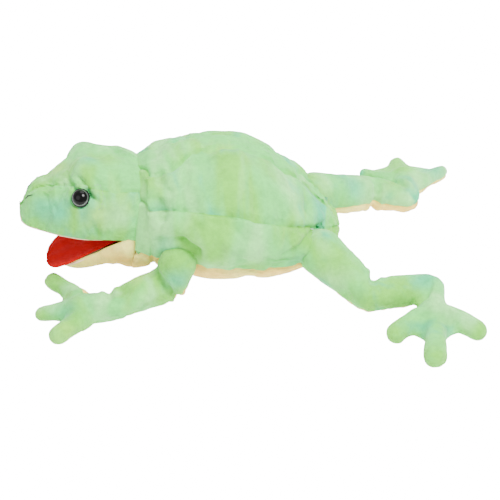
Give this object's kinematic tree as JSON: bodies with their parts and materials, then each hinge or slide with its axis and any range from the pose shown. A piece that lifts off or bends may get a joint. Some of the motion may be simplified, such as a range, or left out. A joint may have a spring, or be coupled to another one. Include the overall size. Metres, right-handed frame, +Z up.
{
  "type": "hand puppet",
  "caption": "Plush frog hand puppet lying on its belly, with a mouth that opens, a nodding head and limp jointed limbs with splayed toes.",
  "frame": {"origin": "on the flat of the belly where the puppet rests, on its middle plane", "axes": "+X towards the rump, -X towards the snout, -Y the frog's left side, +Z up"},
  "size_m": [0.4553, 0.3404, 0.134],
  "materials": {
    "velour_green": "short-pile velour, mottled green",
    "velour_mint": "short-pile velour, mottled mint and green",
    "velour_yellow": "short-pile velour, pale yellow",
    "felt_red": "smooth knitted felt",
    "lining": "plain woven lining",
    "stuffing": "polyester fibre",
    "mouth_board": "flexible plastic sheet",
    "eye_black": "polished black with a clear rim",
    "washer_plastic": "moulded plastic",
    "thread_black": "embroidery thread"
  },
  "bodies": {
    "torso": {"back_panel": "velour_green", "left_upper_panel": "velour_mint", "right_upper_panel": "velour_mint", "left_flank_panel": "velour_green", "right_flank_panel": "velour_green", "belly_panel": "velour_yellow", "torso_filling": "stuffing", "hand_sleeve": "lining"},
    "head": {"crown_panel": "velour_green", "left_cheek_panel": "velour_green", "right_cheek_panel": "velour_green", "throat_panel": "velour_yellow", "neck_collar": "velour_mint", "head_filling": "stuffing", "finger_pocket": "lining", "upper_mouth_board": "mouth_board", "upper_mouth_lining": "felt_red", "left_eye": "eye_black", "right_eye": "eye_black", "eye_washers": "washer_plastic", "nostril_stitches": "thread_black"},
    "jaw": {"lower_mouth_board": "mouth_board", "lower_mouth_lining": "felt_red", "chin_panel": "velour_yellow"},
    "left_upper_arm": {"left_upper_arm_top": "velour_green", "left_upper_arm_under": "velour_yellow", "left_upper_arm_filling": "stuffing"},
    "left_forearm": {"left_forearm_top": "velour_green", "left_forearm_under": "velour_yellow", "left_forearm_filling": "stuffing"},
    "left_hand": {"left_hand_top": "velour_green", "left_hand_under": "velour_yellow", "left_hand_filling": "stuffing"},
    "left_thigh": {"left_thigh_top": "velour_green", "left_thigh_under": "velour_yellow", "left_thigh_filling": "stuffing"},
    "left_shin": {"left_shin_top": "velour_green", "left_shin_under": "velour_yellow", "left_shin_filling": "stuffing"},
    "left_foot": {"left_foot_top": "velour_green", "left_foot_under": "velour_yellow", "left_foot_filling": "stuffing"},
    "right_upper_arm": {"right_upper_arm_top": "velour_green", "right_upper_arm_under": "velour_yellow", "right_upper_arm_filling": "stuffing"},
    "right_forearm": {"right_forearm_top": "velour_green", "right_forearm_under": "velour_yellow", "right_forearm_filling": "stuffing"},
    "right_hand": {"right_hand_top": "velour_green", "right_hand_under": "velour_yellow", "right_hand_filling": "stuffing"},
    "right_thigh": {"right_thigh_top": "velour_green", "right_thigh_under": "velour_yellow", "right_thigh_filling": "stuffing"},
    "right_shin": {"right_shin_top": "velour_green", "right_shin_under": "velour_yellow", "right_shin_filling": "stuffing"},
    "right_foot": {"right_foot_top": "velour_green", "right_foot_under": "velour_yellow", "right_foot_filling": "stuffing"}
  },
  "joints": [
    {"name": "neck_nod", "type": "hinge", "parent": "torso", "child": "head", "pos_m": [-0.064, 0, 0.06198], "axis": [0, 1, 0], "range_deg": [-2, 16]},
    {"name": "mouth_close", "type": "hinge", "parent": "head", "child": "jaw", "pos_m": [-0.09605, -0.0064, 0.04742], "axis": [-0.0844, 0.9672, -0.2396], "range_deg": [0, 30]},
    {"name": "left_shoulder_swing", "type": "hinge", "parent": "torso", "child": "left_upper_arm", "pos_m": [-0.02, -0.074, 0.056], "axis": [0, 0, 1], "range_deg": [0, 20]},
    {"name": "left_elbow_bend", "type": "hinge", "parent": "left_upper_arm", "child": "left_forearm", "pos_m": [-0.03, -0.074, 0.029], "axis": [0, 0, 1], "range_deg": [0, 40]},
    {"name": "left_wrist_bend", "type": "hinge", "parent": "left_forearm", "child": "left_hand", "pos_m": [-0.086, -0.09, 0.016], "axis": [0, 0, 1], "range_deg": [0, 35]},
    {"name": "right_shoulder_swing", "type": "hinge", "parent": "torso", "child": "right_upper_arm", "pos_m": [-0.02, 0.074, 0.056], "axis": [0, 0, 1], "range_deg": [-20, 8]},
    {"name": "right_elbow_bend", "type": "hinge", "parent": "right_upper_arm", "child": "right_forearm", "pos_m": [-0.026, 0.086, 0.029], "axis": [0, 0, 1], "range_deg": [-40, 10]},
    {"name": "right_wrist_bend", "type": "hinge", "parent": "right_forearm", "child": "right_hand", "pos_m": [-0.074, 0.108, 0.016], "axis": [0, 0, 1], "range_deg": [-35, 14]},
    {"name": "left_hip_swing", "type": "hinge", "parent": "torso", "child": "left_thigh", "pos_m": [0.124, -0.046, 0.038], "axis": [0, 0, 1], "range_deg": [-20, 20]},
    {"name": "left_knee_bend", "type": "hinge", "parent": "left_thigh", "child": "left_shin", "pos_m": [0.168, -0.091, 0.0195], "axis": [0, 0, 1], "range_deg": [-50, 35]},
    {"name": "left_ankle_bend", "type": "hinge", "parent": "left_shin", "child": "left_foot", "pos_m": [0.231, -0.084, 0.0175], "axis": [0, 0, 1], "range_deg": [-4, 60]},
    {"name": "right_hip_swing", "type": "hinge", "parent": "torso", "child": "right_thigh", "pos_m": [0.124, 0.046, 0.038], "axis": [0, 0, 1], "range_deg": [-20, 20]},
    {"name": "right_knee_bend", "type": "hinge", "parent": "right_thigh", "child": "right_shin", "pos_m": [0.19, 0.066, 0.0195], "axis": [0, 0, 1], "range_deg": [-35, 40]},
    {"name": "right_ankle_bend", "type": "hinge", "parent": "right_shin", "child": "right_foot", "pos_m": [0.226, 0.058, 0.0175], "axis": [0, 0, 1], "range_deg": [-60, 3]}
  ]
}
